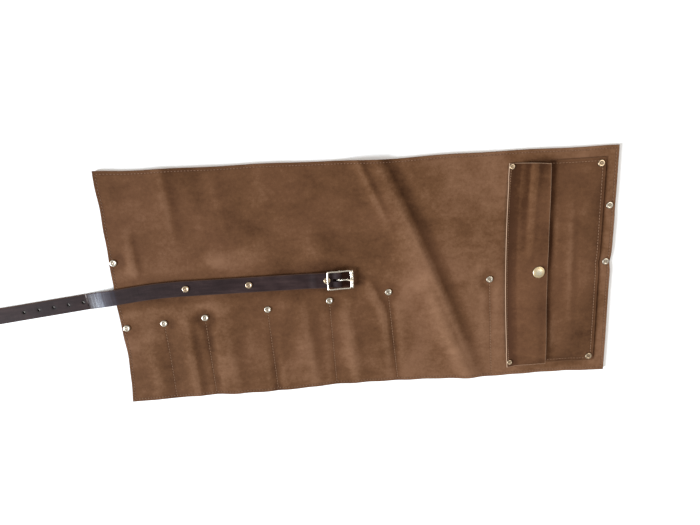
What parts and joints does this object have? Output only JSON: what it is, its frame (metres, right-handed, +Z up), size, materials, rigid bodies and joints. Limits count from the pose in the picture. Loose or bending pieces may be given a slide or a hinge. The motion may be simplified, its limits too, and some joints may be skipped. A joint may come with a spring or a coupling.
{
  "type": "leather tool roll",
  "caption": "Brown suede tool roll laid open, with riveted slots, a flapped side pocket with a snap, and a buckled strap that ties it when rolled.",
  "frame": {"origin": "middle of the whole length and width, with the strap's tail, on the bench that the opened roll lies on", "axes": "+X along the roll's long side towards the side pocket, +Y across it towards the tip pocket, +Z up, out of the outer face"},
  "size_m": [0.8098, 0.294, 0.0137],
  "materials": {
    "suede": "dyed suede, matt, with a short nap and darker creases",
    "suede_inner": "suede flesh side, matt",
    "strap_leather": "smooth dark bridle leather with a waxed sheen",
    "buckle_nickel": "nickel plate, lightly worn",
    "rivet_nickel": "antique nickel, tumbled",
    "snap_cap_brass": "pale brass, polished"
  },
  "bodies": {
    "roll": {"body_panel": "suede", "lower_pocket_panel": "suede_inner", "tip_pocket_panel": "suede_inner", "side_pocket_panel": "suede", "flap_margin": "suede", "strap": "strap_leather", "snap_stud": "rivet_nickel", "snap_post": "rivet_nickel", "divider_rivet_1_cap": "rivet_nickel", "divider_rivet_1_post": "rivet_nickel", "divider_rivet_2_cap": "rivet_nickel", "divider_rivet_2_post": "rivet_nickel", "divider_rivet_3_cap": "rivet_nickel", "divider_rivet_3_post": "rivet_nickel", "divider_rivet_4_cap": "rivet_nickel", "divider_rivet_4_post": "rivet_nickel", "divider_rivet_5_cap": "rivet_nickel", "divider_rivet_5_post": "rivet_nickel", "divider_rivet_6_cap": "rivet_nickel", "divider_rivet_6_post": "rivet_nickel", "side_rivet_left_lower_cap": "rivet_nickel", "side_rivet_left_lower_post": "rivet_nickel", "side_rivet_left_upper_cap": "rivet_nickel", "side_rivet_left_upper_post": "rivet_nickel", "side_rivet_right_lower_cap": "rivet_nickel", "side_rivet_right_lower_post": "rivet_nickel", "side_rivet_right_upper_cap": "rivet_nickel", "side_rivet_right_upper_post": "rivet_nickel", "pocket_rivet_top_cap": "rivet_nickel", "pocket_rivet_top_post": "rivet_nickel", "flap_rivet_top_cap": "rivet_nickel", "flap_rivet_top_post": "rivet_nickel", "pocket_rivet_bottom_cap": "rivet_nickel", "pocket_rivet_bottom_post": "rivet_nickel", "flap_rivet_bottom_cap": "rivet_nickel", "flap_rivet_bottom_post": "rivet_nickel", "strap_rivet_1_cap": "rivet_nickel", "strap_rivet_1_post": "rivet_nickel", "strap_rivet_2_cap": "rivet_nickel", "strap_rivet_2_post": "rivet_nickel", "strap_rivet_3_cap": "rivet_nickel", "strap_rivet_3_post": "rivet_nickel"},
    "flap": {"pocket_flap": "suede", "snap_cap": "snap_cap_brass", "snap_socket": "rivet_nickel"},
    "buckle_end": {"strap_loop": "strap_leather"},
    "buckle": {"buckle_frame": "buckle_nickel"},
    "tongue": {"buckle_tongue": "buckle_nickel"},
    "strap_root": {"strap_bend": "strap_leather"},
    "strap_end": {"strap_tail": "strap_leather"}
  },
  "joints": [
    {"name": "flap_open", "type": "hinge", "parent": "roll", "child": "flap", "pos_m": [0.27974, 0, 0.0078], "axis": [0, -1, 0], "range_deg": [0, 165]},
    {"name": "buckle_lift", "type": "hinge", "parent": "roll", "child": "buckle_end", "pos_m": [0.04334, 0.00116, 0.0118], "axis": [0, -1, 0], "range_deg": [0, 20]},
    {"name": "buckle_rock", "type": "hinge", "parent": "buckle_end", "child": "buckle", "pos_m": [0.05764, 0.00116, 0.0075], "axis": [0, 1, 0], "range_deg": [0, 8]},
    {"name": "tongue_swing", "type": "hinge", "parent": "buckle", "child": "tongue", "pos_m": [0.05764, 0.00116, 0.0075], "axis": [0, -1, 0], "range_deg": [0, 125]},
    {"name": "strap_lift", "type": "hinge", "parent": "roll", "child": "strap_root", "pos_m": [-0.21976, -0.00491, 0.0076], "axis": [-0.1097, 0.994, 0], "range_deg": [0, 85]},
    {"name": "strap_curl", "type": "hinge", "parent": "strap_root", "child": "strap_end", "pos_m": [-0.25356, -0.00864, 0.0034], "axis": [-0.1097, 0.994, 0], "range_deg": [0, 85]}
  ],
  "couplings": [
    {"joint": "strap_curl", "follows": "strap_lift", "ratio": 1}
  ]
}
